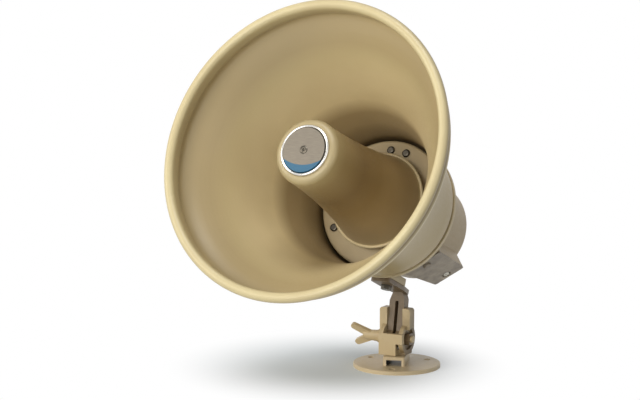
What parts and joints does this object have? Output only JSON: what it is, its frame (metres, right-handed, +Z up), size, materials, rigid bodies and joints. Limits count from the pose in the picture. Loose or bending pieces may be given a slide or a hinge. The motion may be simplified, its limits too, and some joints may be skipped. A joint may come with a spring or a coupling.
{
  "type": "pa horn speaker",
  "caption": "Beige double re-entrant paging horn with flared bell, inner bullet, rear driver can and terminal box, on a clamp swivel bracket with a round base.",
  "frame": {"origin": "centre of the base flange's underside, on the swivel's upright axis", "axes": "+Z up out of the mounting surface; the horn points along -Y, tilted up 22.5 degrees; +X is to the right seen from the front"},
  "size_m": [0.244, 0.2822, 0.3163],
  "materials": {
    "bell_enamel": "baked beige enamel, satin",
    "cast_enamel": "beige paint on cast aluminium",
    "cover_enamel": "beige enamel on the drawn rear cover",
    "badge": "fine-brushed aluminium",
    "polished": "polished edge ring",
    "zinc_steel": "zinc-plated steel",
    "raw_cast": "raw die-cast aluminium",
    "spun_tube": "drawn aluminium tube",
    "gasket": "black sheet rubber",
    "phenolic": "moulded phenolic",
    "ferrite": "sintered ferrite",
    "soft_iron": "zinc-plated soft iron",
    "lamination": "varnished steel laminations",
    "copper": "enamelled copper winding",
    "terminal_plastic": "black moulded terminal strip",
    "brass": "brass terminal screw",
    "selector_nylon": "off-white nylon",
    "gland_rubber": "black rubber bush",
    "bracket_enamel": "beige paint on the die-cast bracket"
  },
  "bodies": {
    "base": {"base": "bracket_enamel"},
    "clamp": {"clamp_body": "bracket_enamel", "clamp_jaw": "bracket_enamel", "clamp_nut": "bracket_enamel", "clamp_washer": "zinc_steel"},
    "horn": {"arm": "bracket_enamel", "arm_bolt": "zinc_steel", "bell": "bell_enamel", "bullet": "bell_enamel", "nose_badge": "badge", "badge_ring": "polished", "nose_screw": "zinc_steel", "nose_spider": "raw_cast", "tone_tube": "spun_tube", "throat_plate": "cast_enamel", "throat_screws": "cast_enamel", "neck_gasket": "gasket", "driver_frame": "cast_enamel", "phase_plug": "phenolic", "diaphragm": "phenolic", "spacer_ring": "raw_cast", "top_plate": "soft_iron", "magnet": "ferrite", "back_plate": "soft_iron", "driver_screws": "zinc_steel", "transformer_core": "lamination", "transformer_coil": "copper", "rear_cover": "cover_enamel", "cover_screws": "zinc_steel", "terminal_cover": "cover_enamel", "lid_screw": "zinc_steel", "terminal_strip": "terminal_plastic", "terminal_screws": "brass", "selector_body": "selector_nylon", "cable_gland": "gland_rubber"},
    "wing_bolt": {"wing_bolt": "bracket_enamel"},
    "tap_selector": {"tap_selector": "selector_nylon"}
  },
  "joints": [
    {"name": "pan", "type": "hinge", "parent": "base", "child": "clamp", "pos_m": [0, 0, 0.0136], "axis": [0, 0, 1], "continuous": true},
    {"name": "tilt", "type": "hinge", "parent": "clamp", "child": "horn", "pos_m": [0, 0, 0.025], "axis": [1, 0, 0], "range_deg": [-40, 30]},
    {"name": "wing_turn", "type": "hinge", "parent": "clamp", "child": "wing_bolt", "pos_m": [0, 0, 0.025], "axis": [1, 0, 0], "continuous": true},
    {"name": "tap_turn", "type": "hinge", "parent": "horn", "child": "tap_selector", "pos_m": [0.03511, 0.01963, 0.08624], "axis": [0.5962, -0.3072, -0.7417], "range_deg": [0, 150]}
  ]
}
